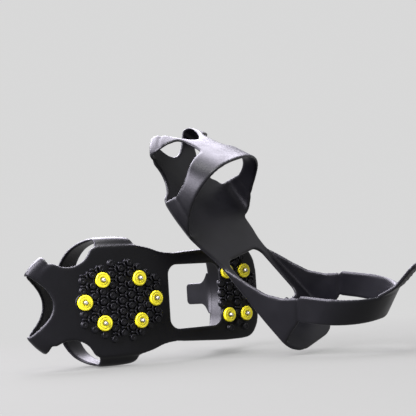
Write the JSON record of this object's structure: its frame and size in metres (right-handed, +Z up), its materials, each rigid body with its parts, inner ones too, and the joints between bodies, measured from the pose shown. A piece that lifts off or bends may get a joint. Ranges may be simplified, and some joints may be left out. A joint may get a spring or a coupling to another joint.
{
  "type": "shoe ice cleats",
  "caption": "Pair of stretch-on rubber ice cleats with round studs under forefoot and heel, a toe strap, and a heel strap with pull tab.",
  "frame": {"origin": "centre of the bounding box at floor level", "axes": "+Z up; +Y away from the left cleat's studs; the left cleat's toe points to -X and the right one leans over it, heel towards -Y"},
  "size_m": [0.2494, 0.286, 0.1951],
  "materials": {
    "rubber": "satin charcoal black moulded rubber",
    "stud_yellow": "bright lemon yellow moulded plastic",
    "stud_steel": "bright turned steel"
  },
  "bodies": {
    "left_sole": {"left_sole_plate": "rubber", "left_toe_strap": "rubber", "left_heel_arms": "rubber", "left_stud_button_01": "stud_yellow", "left_stud_button_02": "stud_yellow", "left_stud_button_03": "stud_yellow", "left_stud_button_04": "stud_yellow", "left_stud_button_05": "stud_yellow", "left_stud_button_06": "stud_yellow", "left_stud_button_07": "stud_yellow", "left_stud_button_08": "stud_yellow", "left_stud_button_09": "stud_yellow", "left_stud_button_10": "stud_yellow", "left_stud_pin_01": "stud_steel", "left_stud_pin_02": "stud_steel", "left_stud_pin_03": "stud_steel", "left_stud_pin_04": "stud_steel", "left_stud_pin_05": "stud_steel", "left_stud_pin_06": "stud_steel", "left_stud_pin_07": "stud_steel", "left_stud_pin_08": "stud_steel", "left_stud_pin_09": "stud_steel", "left_stud_pin_10": "stud_steel"},
    "left_heel": {"left_heel_strap": "rubber"},
    "left_tab": {"left_pull_tab": "rubber"},
    "right_sole": {"right_sole_plate": "rubber", "right_toe_strap": "rubber", "right_heel_arms": "rubber", "right_stud_button_01": "stud_yellow", "right_stud_button_02": "stud_yellow", "right_stud_button_03": "stud_yellow", "right_stud_button_04": "stud_yellow", "right_stud_button_05": "stud_yellow", "right_stud_button_06": "stud_yellow", "right_stud_button_07": "stud_yellow", "right_stud_button_08": "stud_yellow", "right_stud_button_09": "stud_yellow", "right_stud_button_10": "stud_yellow", "right_stud_pin_01": "stud_steel", "right_stud_pin_02": "stud_steel", "right_stud_pin_03": "stud_steel", "right_stud_pin_04": "stud_steel", "right_stud_pin_05": "stud_steel", "right_stud_pin_06": "stud_steel", "right_stud_pin_07": "stud_steel", "right_stud_pin_08": "stud_steel", "right_stud_pin_09": "stud_steel", "right_stud_pin_10": "stud_steel"},
    "right_heel": {"right_heel_strap": "rubber"},
    "right_tab": {"right_pull_tab": "rubber"}
  },
  "joints": [
    {"name": "right_lift", "type": "slide", "parent": "left_sole", "child": "right_sole", "axis": [0, 0, 1], "range_m": [0, 0.25]},
    {"name": "left_heel_swing", "type": "hinge", "parent": "left_sole", "child": "left_heel", "pos_m": [0.06241, 0.06052, 0.051], "axis": [0, 0, 1], "range_deg": [-10, 40], "stiffness_Nm_per_rad": 0.6},
    {"name": "left_tab_flex", "type": "hinge", "parent": "left_heel", "child": "left_tab", "pos_m": [0.09967, 0.11404, 0.051], "axis": [0, 0, 1], "range_deg": [-30, 30], "stiffness_Nm_per_rad": 0.15},
    {"name": "right_heel_swing", "type": "hinge", "parent": "right_sole", "child": "right_heel", "pos_m": [0.07939, -0.05554, 0.04498], "axis": [-0.9236, -0.3062, -0.2306], "range_deg": [-10, 40], "stiffness_Nm_per_rad": 0.6},
    {"name": "right_tab_flex", "type": "hinge", "parent": "right_heel", "child": "right_tab", "pos_m": [0.09964, -0.11752, 0.04617], "axis": [-0.9236, -0.3062, -0.2306], "range_deg": [-30, 30], "stiffness_Nm_per_rad": 0.15}
  ]
}
